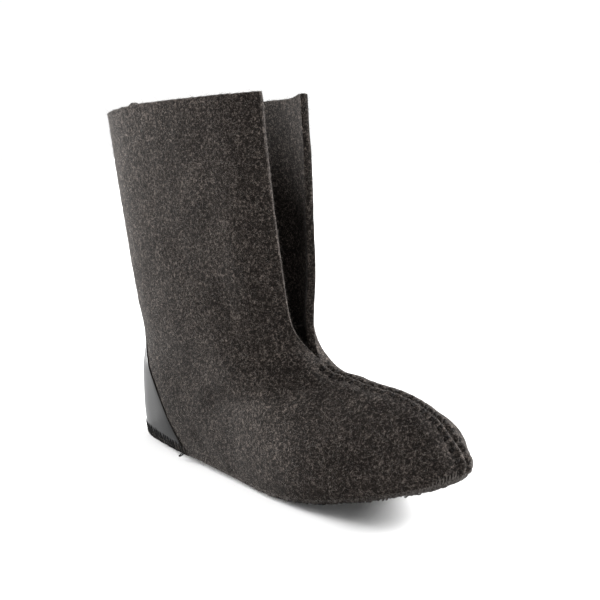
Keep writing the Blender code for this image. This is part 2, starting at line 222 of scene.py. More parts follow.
# Tones of the loose fibres
PALE_FIBRE = (0.09, 0.080, 0.073), (0.20, 0.182, 0.168)
DARK_FIBRE = (0.010, 0.009, 0.009), (0.03, 0.027, 0.025)
FIBRE_TONE_AT = (0.35, 0.65)

# Studio: only the backdrop and the floor show the camera another brightness than the light they give off
BACKDROP, AMBIENT = 1.02, 0.52
FLOOR_HALF, FLOOR_GREY, FLOOR_SEEN = 6.0, 0.4, 0.63

# Suns: name, where each shines from, spread in degrees and power
SUNS = (
    ("key", (-0.13, 0.96, 0.22), 26, 14.8),
    ("rim", (0.82, -0.34, 0.38), 20, 14.2),
    ("top", (-0.15, -0.25, 1.0), 40, 0.5),
    ("fill", (-0.99, -0.09, 0.09), 20, 1.95),
)


# The last as a function

def smooth_path(knots, values, at):
    """A cubic through the values at the knots, with slopes from both neighbours and straight ends."""
    knots = np.asarray(knots, float)
    values = np.asarray(values, float).reshape(len(knots), -1)
    ends = [2 * knots[0] - knots[1]], [2 * knots[-1] - knots[-2]]
    step = np.diff(np.concatenate([ends[0], knots, ends[1]]))[:, None]
    beyond = 2 * values[:1] - values[1:2], 2 * values[-1:] - values[-2:-1]
    rate = np.diff(np.concatenate([beyond[0], values, beyond[1]]), axis=0) / step
    slope = (rate[:-1] * step[1:] + rate[1:] * step[:-1]) / (step[:-1] + step[1:])
    at = np.atleast_1d(np.asarray(at, float))
    i = np.clip(np.searchsorted(knots, at, side="right") - 1, 0, len(knots) - 2)
    width = (knots[i + 1] - knots[i])[:, None]
    t = (at - knots[i])[:, None] / width
    start = (2 * t**3 - 3 * t**2 + 1) * values[i] + (t**3 - 2 * t**2 + t) * width * slope[i]
    return start + (3 * t**2 - 2 * t**3) * values[i + 1] + (t**3 - t**2) * width * slope[i + 1]


FINE_ROWS = np.linspace(RIM, COLLAR, SAMPLES)
FINE_TABLE = smooth_path(range(len(LAST)), LAST_TABLE, FINE_ROWS)
TOE = FINE_TABLE[:, COLUMNS.index("front")].max()
MIDDLE_G = (TOE + LAST[COLLAR][COLUMNS.index("back")]) / 2


def ground(g):
    """Height of the sole's underside along the foot: flat from heel to ball, then toe spring."""
    return SPRING_RISE * np.clip((g - SPRING_START) / (TOE - SPRING_START), 0, None) ** SPRING_POWER


def section(u, side):
    """Points of one side of the section at row u, from the back line to the front line."""
    row = dict(zip(COLUMNS, smooth_path(range(len(LAST)), LAST_TABLE, u)[0]))
    turn = np.radians(min(row["turn"], 180.0))
    edge = max(row["edge"], 0.0) if u > THROAT else 0.0
    span = 1 - np.cos(turn)
    way = np.linspace(0, 1, SAMPLES)
    halves = np.array([row[name] for name in ("heel", "waist", "ball", "toe")])
    if side == MEDIAL_SIDE:
        fade = np.clip((THROAT - u) / (THROAT - MEDIAL_FULL_ROW), 0, 1)
        halves = halves * (1 + (MEDIAL - 1) * fade)
    heel, toe = halves[0], halves[-1]
    toe_round = OPEN_EDGE_ROUND + (TOE_ROUND - OPEN_EDGE_ROUND) * (1 - edge / toe) ** 2
    shares = np.array([END_SHARE, *SHARES, 1 - END_SHARE])
    knots = [0, *np.arccos(1 - shares * span) / turn, 1]
    values = [0, heel * HEEL_ROUND, *halves, edge + (toe - edge) * toe_round, edge]
    half = np.maximum(smooth_path(knots, values, way)[:, 0], 0)
    share = (1 - np.cos(way * turn)) / span
    g = row["back"] + (row["front"] - row["back"]) * share
    z = row["back_z"] + (row["front_z"] - row["back_z"]) * share + ground(g)
    return np.stack([side * half, g, z], axis=1)


def unit(vectors):
    """The same ways with a length of one."""
    return vectors / np.linalg.norm(vectors, axis=-1, keepdims=True)


@functools.lru_cache(maxsize=None)
def wall_line(u, side):
    """Points, outward normals and lengths from the back line along one side of the wall at row u."""
    here = section(u, side)
    rise = section(min(u + ROW_STEP, COLLAR), side) - section(max(u - ROW_STEP, RIM), side)
    normal = np.cross(np.gradient(here, axis=0), rise) * side
    normal[np.abs(here[:, 0]) < TINY, 0] = 0
    return here, unit(normal), line_lengths(here)


def line_lengths(points):
    """Lengths along a line of points, from its first one."""
    return np.concatenate([[0], np.cumsum(np.linalg.norm(np.diff(points, axis=0), axis=1))])


def girth(u, side):
    """Length of one side of the wall at row u, from the back line to the front line."""
    return wall_line(u, side)[2][-1]


def wall(u, side, arcs):
    """Points and outward normals of the wall at row u, at these lengths from the back line."""
    here, normal, reach = wall_line(u, side)
    points = np.stack([np.interp(arcs, reach, here[:, k]) for k in range(3)], axis=-1)
    normals = np.stack([np.interp(arcs, reach, normal[:, k]) for k in range(3)], axis=-1)
    return points, unit(normals)


def back_row(z):
    """The row whose section starts at this height on the back line."""
    return np.interp(z, FINE_TABLE[:, COLUMNS.index("back_z")], FINE_ROWS)


# Small tools for meshes

def place(points):
    """Metres in the row frame, from millimetres along the foot."""
    points = np.asarray(points, float)
    return np.stack([points[:, 0], MIDDLE_G - points[:, 1], points[:, 2]], axis=1) * MM


def solid_mesh(name, points, faces):
    """A mesh whose faces all look out of the closed solid."""
    mesh = bpy.data.meshes.new(name)
    mesh.from_pydata(place(points).tolist(), [], [list(map(int, face)) for face in faces])
    bm = bmesh.new()
    bm.from_mesh(mesh)
    bmesh.ops.recalc_face_normals(bm, faces=bm.faces)
    bm.to_mesh(mesh)
    bm.free()
    return mesh


def solid_piece(name, solid, *details):
    """A new piece from the points and faces of a closed solid."""
    return new_piece(name, solid_mesh(name, *solid), *details)


def add_object(name, data):
    """An object in the scene."""
    item = bpy.data.objects.new(name, data)
    bpy.context.scene.collection.objects.link(item)
    return item


def new_piece(name, mesh, material, slot, nodes=(), sharp=None):
    """An object that rides on the body, with one material and faces smooth up to an angle in degrees."""
    mesh.shade_smooth()
    if sharp:
        mesh.set_sharp_from_angle(angle=math.radians(sharp))
    mesh.materials.append(material)
    piece = add_object(name, mesh)
    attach(piece, "root")
    for node in nodes:
        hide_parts(node)
    return piece


def grid_faces(index):
    """Quads between the rows of an array of vertex numbers."""
    low, high = index[:-1], index[1:]
    return np.stack([low[:, :-1], low[:, 1:], high[:, 1:], high[:, :-1]], axis=-1).reshape(-1, 4).tolist()


def bridge_two_to_one(fine, coarse):
    """Triangles from a closed loop to one with half as many vertices."""
    faces = []
    for k in range(len(coarse)):
        a, b, c = fine[2 * k], fine[2 * k + 1], fine[(2 * k + 2) % len(fine)]
        near, far = coarse[k], coarse[(k + 1) % len(coarse)]
        faces += [(a, b, near), (b, c, far), (b, far, near)]
    return faces


def drop_unused(points, faces):
    """The points that some face uses, and the faces with their new numbers."""
    used = np.unique(np.concatenate([np.asarray(face) for face in faces]))
    number = np.full(len(points), -1)
    number[used] = np.arange(len(used))
    return points[used], [[number[i] for i in face] for face in faces]


def lumps(points, wave, height, seed):
    """Smooth noise of about half this height up and down over the points, with lumps of this size."""
    shift = Vector([seed * away for away in LUMP_SHIFT])
    values = [noise.noise(Vector(point) / wave + shift) for point in points.reshape(-1, 3)]
    return height * np.array(values).reshape(points.shape[:-1])


def bell(away, wide):
    """One where the distance is nothing, falling off softly over this width."""
    return np.exp(-((away / wide) ** 2))


def tube(path, radius, sides=6):
    """Points and faces of a closed round tube along a path, with one radius or one for each point."""
    path = np.asarray(path, float)
    radii = np.broadcast_to(radius, len(path))
    along = unit(np.gradient(path, axis=0))
    any_way = [0.3, 0.5, 0.8]
    across = np.cross(along[0], any_way)
    rings = []
    for point, way, wide in zip(path, along, radii):
        across = unit(across - way * (across @ way))
        other = np.cross(way, across)
        turn = np.linspace(0, 2 * np.pi, sides, endpoint=False)
        rings.append(point + wide * (np.cos(turn)[:, None] * across + np.sin(turn)[:, None] * other))
    count = len(path)
    index = np.arange(count * sides).reshape(count, sides)
    faces = grid_faces(np.concatenate([index, index[:, :1]], axis=1))
    return np.concatenate(rings), faces + [index[0].tolist(), index[-1].tolist()]


def soft_path(points, per_step):
    """A smooth path through the points with this many steps between two of them."""
    points = np.asarray(points, float)
    count = len(points)
    return smooth_path(range(count), points, np.linspace(0, count - 1, (count - 1) * per_step + 1))


def slab(top, bottom):
    """Points and faces of the closed solid between two grids."""
    rows, columns = top.shape[:2]
    index = np.arange(rows * columns).reshape(rows, columns)
    under = index + rows * columns
    faces = grid_faces(index) + grid_faces(under[::-1])
    for edge in (np.s_[0], np.s_[-1], np.s_[:, 0], np.s_[:, -1]):
        faces += grid_faces(np.array([index[edge], under[edge]]))
    return np.concatenate([top.reshape(-1, 3), bottom.reshape(-1, 3)]), faces


def join(parts):
    """One list of points and faces from several."""
    points, faces, start = [], [], 0
    for part_points, part_faces in parts:
        points.append(part_points)
        faces += [[start + i for i in face] for face in part_faces]
        start += len(part_points)
    return np.concatenate(points), faces


# Materials

def new_material(name, color, roughness, sheen=0.0, sheen_tint=(1, 1, 1), gloss=0.15):
    """A material with its node tree and its shader."""
    material = bpy.data.materials.new(name)
    material.use_nodes = True
    shader = material.node_tree.nodes["Principled BSDF"]
    shader.inputs["Base Color"].default_value = (*color, 1)
    shader.inputs["Roughness"].default_value = roughness
    shader.inputs["Sheen Weight"].default_value = sheen
    shader.inputs["Sheen Roughness"].default_value = SHEEN_ROUGHNESS
    shader.inputs["Specular IOR Level"].default_value = gloss
    shader.inputs["Sheen Tint"].default_value = (*sheen_tint, 1)
    return material, material.node_tree, shader


def fill_socket(tree, socket, value):
    """Link another node's output to a socket, or set the socket to a plain value."""
    if isinstance(value, bpy.types.NodeSocket):
        tree.links.new(value, socket)
    else:
        socket.default_value = value


def add_node(tree, kind, **inputs):
    """A node with these inputs, where an underscore stands for the space in a socket's name."""
    node = tree.nodes.new(kind)
    for name, value in inputs.items():
        fill_socket(tree, node.inputs[name.replace("_", " ")], value)
    return node


def math_node(tree, operation, first, second, kind="ShaderNodeMath"):
    """The result of an operation on two values, or on two colours with the vector kind."""
    node = tree.nodes.new(kind)
    node.operation = operation
    for socket, value in zip(node.inputs, (first, second)):
        fill_socket(tree, socket, value)
    return node.outputs[0]


def ramp(tree, factor, stops):
    """A colour that runs through these stops."""
    node = tree.nodes.new("ShaderNodeValToRGB")
    elements = node.color_ramp.elements
    while len(elements) < len(stops):
        elements.new(0.5)
    for element, (position, color) in zip(elements, stops):
        element.position = position
        element.color = (*color, 1)
    tree.links.new(factor, node.inputs[0])
    return node.outputs["Color"]


def own_place(tree):
    """The place on the piece itself, in metres, that its textures read."""
    return tree.nodes.new("ShaderNodeTexCoord").outputs["Object"]


def cloud(tree, at, scale, **more):
    """The value of a noise texture of this scale."""
    return add_node(tree, "ShaderNodeTexNoise", Vector=at, Scale=scale, **more).outputs["Fac"]


def tinted(tree, shader, color, level):
    """Give the shader a colour times a level: painted shade on the felt, specks on the thread."""
    product = math_node(tree, "MULTIPLY", color, level, "ShaderNodeVectorMath")
    tree.links.new(product, shader.inputs["Base Color"])


def bumped(tree, shader, height, strength, deep):
    """Give the shader a bump of this depth in metres."""
    bump = add_node(tree, "ShaderNodeBump", Strength=strength, Distance=deep, Height=height)
    tree.links.new(bump.outputs[0], shader.inputs["Normal"])


def melange_felt(name, tone, light):
    """Charcoal wool felt: dark and pale fibres that lie in every direction, in clumps, with a short nap, and
    painted shade low on the heel and waist.
    """
    material, tree, shader = new_material(name, color=(0.05, 0.045, 0.042), roughness=0.95,
                                          sheen=0.10, sheen_tint=(0.75, 0.72, 0.7), gloss=0.08)
    at = own_place(tree)
    clumps = cloud(tree, at, scale=480.0, Detail=2.0, Roughness=0.6, Distortion=0.8)
    grain = cloud(tree, at, scale=1250.0, Detail=2.0, Roughness=0.6)
    drift = cloud(tree, at, scale=38.0, Detail=2.0, Roughness=0.55)
    streaks = None
    for turn in STREAK_TURNS:
        mapping = add_node(tree, "ShaderNodeMapping", Vector=at, Rotation=turn, Scale=STREAK_SCALE)
        streak = cloud(tree, mapping.outputs[0], scale=1.0, Detail=1.0, Distortion=0.4)
        streaks = streak if streaks is None else math_node(tree, "MAXIMUM", streaks, streak)
    mix = math_node(tree, "MULTIPLY", clumps, CLUMP_SHARE)
    for value, share in ((grain, GRAIN_SHARE), (streaks, STREAK_SHARE), (drift, DRIFT_SHARE)):
        mix = math_node(tree, "ADD", mix, math_node(tree, "MULTIPLY", value, share))
    dark = tuple(DARKEST * t for t in tone)
    bright = tuple(BRIGHTEST * t for t in light)
    color = ramp(tree, mix, tuple(zip(TONE_AT, (dark, tone, light, bright))))
    # Painted shade: the felt is painted darker low down and towards the heel
    spot = add_node(tree, "ShaderNodeSeparateXYZ", Vector=at).outputs
    high = math_node(tree, "MULTIPLY", spot["Z"], PAINTED_SHADE_UP)
    back = math_node(tree, "MULTIPLY", spot["Y"], PAINTED_SHADE_BACK)
    level = ramp(tree, math_node(tree, "SUBTRACT", high, back), PAINTED_SHADE_STOPS)
    tinted(tree, shader, color, level)
    height = math_node(tree, "ADD", math_node(tree, "MULTIPLY", streaks, STREAK_BUMP), grain)
    bumped(tree, shader, height, strength=0.55, deep=0.0004)
    return material


def sewing_thread(name, heel_to_toe_stops):
    """Matt black thread, whose tone changes from heel to toe; on the sole thread the lighter toe is a painted
    highlight.
    """
    material, tree, shader = new_material(name, color=(0.014, 0.013, 0.013), roughness=0.8, gloss=0.05)
    at = own_place(tree)
    along = add_node(tree, "ShaderNodeSeparateXYZ", Vector=at).outputs["Y"]
    share = add_node(tree, "ShaderNodeMapRange", Value=along, From_Min=0.066, From_Max=-0.16)
    speck = cloud(tree, at, scale=600.0, Detail=2.0)
    # Tone along the foot; on the sole thread the lighter toe is a painted highlight
    heel_to_toe = ramp(tree, share.outputs[0], heel_to_toe_stops)
    tinted(tree, shader, heel_to_toe, ramp(tree, speck, THREAD_SPECK_STOPS))
    bumped(tree, shader, speck, strength=0.4, deep=0.0002)
    return material


def heel_vinyl():
    """Smooth dark grey vinyl with a faint pressed grain."""
    material, tree, shader = new_material("heel_vinyl", color=(0.062, 0.062, 0.064), roughness=0.32,
                                          gloss=0.075)
    at = own_place(tree)
    pebble = add_node(tree, "ShaderNodeTexVoronoi", Vector=at, Scale=1300.0).outputs["Distance"]
    mottle = cloud(tree, at, scale=60.0, Detail=3.0)
    tree.links.new(ramp(tree, mottle, VINYL_STOPS), shader.inputs["Base Color"])
    rough = add_node(tree, "ShaderNodeMapRange", Value=mottle, To_Min=0.30, To_Max=0.46)
    tree.links.new(rough.outputs[0], shader.inputs["Roughness"])
    shader.inputs["Coat Weight"].default_value = 0.33
    shader.inputs["Coat Roughness"].default_value = 0.24
    bumped(tree, shader, pebble, strength=0.12, deep=0.0002)
    return material


def loose_fibre(name, color, other):
    """Single wool fibres, with the tone drifting from one to the next."""
    material, tree, shader = new_material(name, color, roughness=0.85, sheen=0.03,
                                          sheen_tint=(0.8, 0.78, 0.76))
    speck = cloud(tree, own_place(tree), scale=700.0, Detail=1.0)
    tone = ramp(tree, speck, tuple(zip(FIBRE_TONE_AT, (color, other))))
    tree.links.new(tone, shader.inputs["Base Color"])
    return material


# The felt upper

def upper_grid():
    """Rows, points, normals and signed distances from the ridge and the back line of the outer felt."""
    foot = np.linspace(JOINT, THROAT, (THROAT - JOINT) * FOOT_STEPS + 1)
    shaft = np.linspace(THROAT, COLLAR, (COLLAR - THROAT) * SHAFT_STEPS + 1)[1:]
    rows = np.concatenate([foot, shaft])
    top, below = (wall(u, LATERAL, [0.0])[0] for u in (COLLAR, COLLAR - ROW_STEP))
    rise = np.linalg.norm(top - below) / ROW_STEP
    rows[-1] -= EDGE_ROUND / rise
    way = np.linspace(0, 1, SIDE_COLUMNS + 1)
    way = way - COLUMN_CROWD * np.sin(2 * np.pi * way) / (2 * np.pi)
    lines = []
    for u in rows:
        sides = {}
        for side in (MEDIAL_SIDE, LATERAL):
            total = girth(u, side)
            arcs = way * (total if u <= THROAT else total - EDGE_ROUND)
            sides[side] = (*wall(u, side, arcs), side * (total - arcs), side * arcs)
        pairs = zip(sides[MEDIAL_SIDE], sides[LATERAL])
        lines.append([np.concatenate([medial[::-1], lateral[1:]]) for medial, lateral in pairs])
    return rows, *(np.array(values) for values in zip(*lines))


def collar_dip(points):
    """How far the collar sags, at its back corner and along the inner panel, fading out down the shaft."""
    fade = np.clip((points[..., 2] - DIP_FROM) / (LAST[COLLAR][COLUMNS.index("back_z")] - DIP_FROM), 0, 1)
    far = (points[..., 0] > 0) * np.interp(points[..., 1], *FAR_DIP)
    return fade * (far + np.interp(points[..., 1], *DIP))


def vamp_stitches(length):
    """Places of the stitches along the ridge of the foot, closer together near the toe."""
    places, along = [], VAMP_FIRST
    while along < length - VAMP_END:
        places.append(along)
        along += VAMP_PITCH + VAMP_SPREAD * (along / length) ** 2
    return np.array(places)


def back_stitches(rows, back_line):
    """Places of the stitches up the back, from the heel patch to the collar."""
    start = np.interp(back_row(COUNTER_TOP), rows, back_line) + BACK_FIRST
    return np.arange(start, back_line[-1] - BACK_END, BACK_PITCH)


def lip_height(across):
    """Height of a seam's two felt lips, with the groove between them."""
    lips = LIP_HEIGHT * bell(np.abs(across) - LIP_AT, LIP_WIDE)
    return lips - GROOVE_DEEP * bell(across, GROOVE_WIDE)


def seam_lift(across, along, places, needle, bold):
    """How far a seam's two felt lips stand up, pulled down at each stitch, with a pit at each needle hole."""
    spot = along - STITCH_SLANT * across
    off = np.abs(spot[..., None] - places).min(axis=-1)
    pull = bell(off, PULL_WIDE)
    pit = bold * PIT_DEEP * pull * bell(np.abs(across) - needle, PIT_WIDE)
    first, last = places[0] - SEAM_BEYOND, places[-1] + SEAM_BEYOND
    ends = np.clip((along - first) / SEAM_FADE, 0, 1) * np.clip((last - along) / SEAM_FADE, 0, 1)
    return ends * (lip_height(across) * (1 - PULL_SHARE * pull) - pit)


def crease_lift(points):
    """Soft troughs along the creases with a low bank on each side, or ridges where a depth is negative."""
    lift = np.zeros(points.shape[:-1])
    for width, depth, path in CREASES:
        near = np.full(points.shape[:-1], np.inf)
        for spot in soft_path(path, CREASE_STEPS):
            near = np.minimum(near, np.linalg.norm(points - spot, axis=-1))
        lift -= depth * bell(near, width)
        lift += CREASE_BANK * depth * bell(near - CREASE_BANK_AT * width, width)
    return lift


def felt_lift(rows, base, ridge, back, throat):
    """How far the outer felt stands off the last: nap, lumps, creases and the lips of two seams."""
    ridge_line = line_lengths(base[:, 0])
    back_line = line_lengths(base[:, SIDE_COLUMNS])
    lift = NAP + lumps(base, *SLOW_LUMPS) + lumps(base, *QUICK_LUMPS)
    lift += lumps(base, *FINE_LUMPS) + crease_lift(base)
    along = ridge_line[:throat + 1, None]
    needle = np.interp(along, *NEEDLE)
    bold = np.interp(along, *BOLD)
    stitches = vamp_stitches(ridge_line[throat])
    lift[:throat + 1] += seam_lift(ridge[:throat + 1], along, stitches, needle, bold)
    lift += seam_lift(back, back_line[:, None], back_stitches(rows, back_line), BACK_NEEDLE, 1.0)
    return lift


def edge_loop(throat, last, end):
    """Rows and columns of the cut edge: up the lateral split, round the collar and down the medial split."""
    loop = [(throat, 0)]
    loop += [(r, end) for r in range(throat + 1, last + 1)]
    loop += [(last, c) for c in range(end - 1, -1, -1)]
    return loop + [(r, 0) for r in range(last - 1, throat, -1)]


def edge_way(base, row, column, throat):
    """The way out of the felt at a cut edge: up at the collar, forward at the split."""
    last, end = base.shape[0] - 1, base.shape[1] - 1
    way = np.zeros(3)
    if row == last:
        way += unit(base[last, column] - base[last - EDGE_STEPS, column])
    if row == throat:
        way += unit(base[row + 1, column] - base[row, column])
    elif column in (0, end):
        way += unit(base[row, column] - base[row, EDGE_STEPS if column == 0 else end - EDGE_STEPS])
    return unit(way)


def make_upper(material):
    """Outer felt, inner felt with half as many points each way, and the cut edges between them."""
    rows, base, normals, ridge, back = upper_grid()
    base[..., 2] -= collar_dip(base)
    row_count, column_count = base.shape[:2]
    throat = (THROAT - JOINT) * FOOT_STEPS
    outer = base + felt_lift(rows, base, ridge, back, throat)[..., None] * normals
    outer[:throat + 1, -1] = outer[:throat + 1, 0]
    inner = base - FELT * normals + lumps(base, *INNER_LUMPS)[..., None] * normals
    inner = inner[::2, ::2]

    index = np.arange(row_count * column_count).reshape(row_count, column_count)
    index[:throat + 1, -1] = index[:throat + 1, 0]
    points = [outer.reshape(-1, 3)]
    faces = grid_faces(index)
    start = row_count * column_count
    inside = start + np.arange(inner.shape[0] * inner.shape[1]).reshape(inner.shape[:2])
    inside[:throat // 2 + 1, -1] = inside[:throat // 2 + 1, 0]
    points.append(inner.reshape(-1, 3))
    faces += grid_faces(inside)
    start += inner.shape[0] * inner.shape[1]

    last = row_count - 1
    loop = edge_loop(throat, last, column_count - 1)
    outside = np.array([outer[r, c] for r, c in loop])
    deep = np.array([base[r, c] - FELT * normals[r, c] for r, c in loop])
    away = np.array([edge_way(base, r, c, throat) for r, c in loop])
    nub = np.array([NUB_HEIGHT * (r == last) * bell(back[r, c] - NUB_AT, NUB_WIDE) for r, c in loop])
    ring = [index[r, c] for r, c in loop]
    for share, bulge in EDGE_LAYERS:
        layer = outside + (deep - outside) * share
        layer = layer + away * (EDGE_ROUND * bulge + nub + lumps(layer, *EDGE_LUMPS))[:, None]
        points.append(layer)
        next_ring = list(range(start, start + len(layer)))
        start += len(layer)
        faces += grid_faces(np.array([ring + ring[:1], next_ring + next_ring[:1]]))
        ring = next_ring
    faces += bridge_two_to_one(ring, [inside[r // 2, c // 2] for r, c in loop[::2]])
    faces += bridge_two_to_one(index[0, :-1].tolist(), inside[0, :-1].tolist())
    points, faces = drop_unused(np.concatenate(points), faces)
    return cut_bed(points, faces, material)


def counter_grid(rows, columns, lift, grow=0.0):
    """Points over the heel patch, from medial to lateral, lifted square off the wall."""
    low = LAST[JOINT][COLUMNS.index("back_z")]
    start = (wall(SEAM_TOP, LATERAL, np.array([0.0]))[0][0, 2] - low) / (COUNTER_TOP - low)
    shares = start + (COUNTER_END - start) * (1 - np.linspace(1, 0, rows) ** PATCH_CROWD)
    halves = ((MEDIAL_SIDE, np.s_[:columns + 1]), (LATERAL, np.s_[columns:]))
    grid = []
    for share in shares:
        half = COUNTER_HALF * (1 - share**COUNTER_FALL) ** COUNTER_ROUND + grow
        across = np.linspace(-1, 1, 2 * columns + 1)
        height = lift(share, across) if callable(lift) else np.full(len(across), lift)
        u = float(back_row(low + share * (COUNTER_TOP - low)))
        line = []
        for side, mine in halves:
            points, normals = wall(u, side, np.abs(across[mine]) * half)
            line.append(points + height[mine][:, None] * normals)
        grid.append(np.concatenate([line[0], line[1][1:]]))
    return np.array(grid)


def cut_bed(points, faces, material):
    """The upper with the bed of the heel patch cut into its wall."""
    upper = add_object("uncut", solid_mesh("uncut", points, faces))
    top = counter_grid(BED_ROWS, BED_COLUMNS, BED_ABOVE, BED_GAP)
    bottom = counter_grid(BED_ROWS, BED_COLUMNS, -BED_DEEP, BED_GAP)
    cutter = add_object("cutter", solid_mesh("cutter", *slab(top, bottom)))
    cut = upper.modifiers.new("bed", "BOOLEAN")
    cut.operation, cut.solver, cut.object = "DIFFERENCE", "MANIFOLD", cutter
    graph = bpy.context.evaluated_depsgraph_get()
    mesh = bpy.data.meshes.new_from_object(upper.evaluated_get(graph))
    for item in (upper, cutter):
        bpy.data.objects.remove(item, do_unlink=True)
    mesh.name = "felt_upper"
    mesh.materials.clear()
    return new_piece("felt_upper", mesh, material, "felt", ["upper"], UPPER_SHARP)


# The sole, the heel patch and the seams

def around(u, turn, lift=0.0):
    """Points round the foot at row u; turn runs 0 to 1 along the lateral side and 1 to 2 back to the heel."""
    turn = np.asarray(turn, float) % 2
    share = np.where(turn < 1, turn, 2 - turn)
    result = np.empty((len(turn), 3))
    for side, mine in ((LATERAL, turn < 1), (MEDIAL_SIDE, turn >= 1)):
        points, normals = wall(u, side, share[mine] * girth(u, side))
        if side == LATERAL and u < JOINT:
            points[:, 2] += (JOINT - u) * np.interp(points[:, 1], *CURL)
        result[mine] = points + lift * normals
    return result


def sole_loops(turn):
    """Loops round the sole's crowned edge, from its underside to its top, more ragged towards the toe."""
    loops = []
    for u in SOLE_RINGS:
        loop = around(u, turn, SOLE_CROWN * math.sin(math.pi * u))
        ragged = np.interp(loop[:, 1], *RAGGED) * lumps(loop, *RAGGED_LUMPS)
        loops.append(loop + ragged[:, None] * np.array(RAGGED_WAY))
    loops[0][:, 2] = np.maximum(loops[0][:, 2], SOLE_LOWEST)
    return loops


def make_sole(material):
    """A felt slab with rows of points across its top and its underside."""
    count = 2 * SIDE_COLUMNS
    loops = sole_loops(np.linspace(0, 2, count, endpoint=False))
    points = list(np.concatenate(loops))
    index = np.arange(count * len(loops)).reshape(len(loops), count)
    faces = grid_faces(np.concatenate([index, index[:, :1]], axis=1))
    across = np.linspace(0, 1, SOLE_ACROSS + 2)[1:-1, None]
    for ring, loop, top in ((index[0], loops[0], False), (index[-1], loops[-1], True)):
        rows = []
        for k in range(1, SIDE_COLUMNS):
            first, second = loop[k], loop[count - k]
            line = first + (second - first) * across
            wide = np.linalg.norm(second - first)
            inset = np.minimum(across, 1 - across)[:, 0] * wide
            rim = line[:, 2] - ground(line[:, 1])
            roll = 1.0 if top else np.clip(1 - inset / ROLL_WIDTH, 0, 1) ** 2
            felt = SOLE_NAP * (1 + lumps(line, *SOLE_LUMPS))
            line[:, 2] = np.maximum(ground(line[:, 1]) + rim * roll + felt, 0)
            rows.append([ring[k], *range(len(points), len(points) + len(line)), ring[count - k]])
            points += list(line)
        faces += grid_faces(np.array(rows))
        for tip, row in ((ring[0], rows[0]), (ring[SIDE_COLUMNS], rows[-1])):
            faces += [(tip, a, b) for a, b in zip(row, row[1:])]
    solid = np.array(points), faces
    return solid_piece("felt_sole", solid, material, "sole_felt", ["sole"], SOLE_SHARP)


def patch_height(share, across):
    """Lift of the vinyl's face, which rolls down along its cut edge."""
    edge = np.minimum(1 - np.abs(across), PATCH_ROLL) / PATCH_ROLL
    end = min((COUNTER_END - share) / PATCH_END_ROLL, 1)
    return PATCH_LOW + PATCH_RISE * np.sqrt(np.clip(edge * end, 0, 1))


def make_patch(material):
    """The vinyl of the heel patch, whose back lies in the bed that is cut for it."""
    top = counter_grid(PATCH_ROWS, PATCH_COLUMNS, patch_height)
    bottom = counter_grid(PATCH_ROWS, PATCH_COLUMNS, -COUNTER_SUNK - COUNTER_THICK)
    return solid_piece("heel_patch", slab(top, bottom), material, "vinyl", ["heel_counter"], PATCH_SHARP)


def make_patch_edge(material):
    """The dark cut edge of the heel patch, a thin black bead between vinyl and felt; its black is partly the
    cut edge and partly painted shade in the joint.
    """
    rim = counter_grid(PATCH_ROWS, EDGE_BEAD_COLUMNS, EDGE_BEAD_LIFT, EDGE_BEAD_OUT)
    path = soft_path(np.concatenate([rim[:, 0], rim[-1, 1:-1], rim[::-1, -1]]), per_step=2)
    radius = np.interp(path[:, 2], *EDGE_BEAD)
    return solid_piece("patch_edge", tube(path, radius), material, "vinyl")


def under_rim(turn, inset):
    """Points under the sole's rim, this far in from it."""
    rim = around(RIM, turn)
    goal = np.stack([np.zeros(len(rim)), np.clip(rim[:, 1], *SOLE_MIDDLE)], axis=1)
    point = rim.copy()
    point[:, :2] += inset * unit(goal - rim[:, :2])
    high = rim[:, 2] - ground(rim[:, 1])
    point[:, 2] = ground(point[:, 1]) + high * np.clip(1 - inset / ROLL_WIDTH, 0, 1) ** 2
    return point


def thread_rise(g):
    """How far the sole's thread lies above the wall: free at heel and toe, sunk between them."""
    return np.interp(g, *THREAD_RISE)


def wrap_path(fine, stitches, count, rng):
    """The zigzag of the thread that wraps the sole's edge, looser towards the toe."""
    starts = np.interp(np.arange(count) + STITCH_SCATTER * rng.standard_normal(count), stitches, fine)
    step = np.diff(np.interp(np.arange(count + 1), stitches, fine))
    loose = rng.random(count) ** 2
    up = [(u, 1 - share) for u, share in WRAP_DOWN[:0:-1]]
    stops = []
    for k, (u, share) in enumerate((*WRAP_DOWN, (None, WRAP_TURN), *up)):
        turn = starts + share * step
        if u is None:
            below = under_rim(turn, WRAP_INSET)
            below[:, 2] -= LOOSE_UNDER * loose * np.interp(below[:, 1], *LOOSE)
            stops.append(below)
            continue
        points = around(u, turn)
        raised = around(u, turn, 1.0) - points
        heel = np.interp(points[:, 1], HEEL_ZONE, (1, 0))
        tall = around(u + (HEEL_ROWS[0] - 1) * (u - WRAP_DOWN[-1][0]), turn)
        reach = (np.interp(points[:, 1], HEEL_ROWS_AT, HEEL_ROWS) - 1) / (HEEL_ROWS[0] - 1)
        points += reach[:, None] * (tall - points)
        sunk = RETURN_SUNK * heel if k > len(WRAP_DOWN) else 0
        slack = loose * np.interp(points[:, 1], *LOOSE) if u < LOOSE_ROW else 0
        stops.append(points + (thread_rise(points[:, 1]) + slack - sunk)[:, None] * raised)
    path = np.stack(stops, axis=1)
    path[:, 0, 2] += TOP_SCATTER * rng.standard_normal(count)
    path = path.reshape(-1, 3)
    path += WRAP_SCATTER * rng.standard_normal(path.shape)
    return soft_path(path, per_step=2)


def chain_path(fine, stitches, count):
    """The thread along the upper needle line, which sways with each stitch."""
    turn = np.interp(np.linspace(0, count, count * CHAIN_STEPS + 1)[:-CHAIN_OPEN], stitches, fine)
    level = around(SEAM_TOP, turn)
    raised = around(SEAM_TOP, turn, 1.0) - level
    chain = level + np.minimum(thread_rise(level[:, 1]) - CHAIN_SUNK, CHAIN_HIGHEST)[:, None] * raised
    chain[:, 2] += CHAIN_SWAY * np.sin(2 * np.pi * np.interp(turn, fine, stitches))
    return chain


def loop_path():
    """The slack loop of thread that hangs out where the heel patch ends."""
    return soft_path(np.array(LOOP_CORNER) + np.array(LOOP_STEPS), per_step=5)


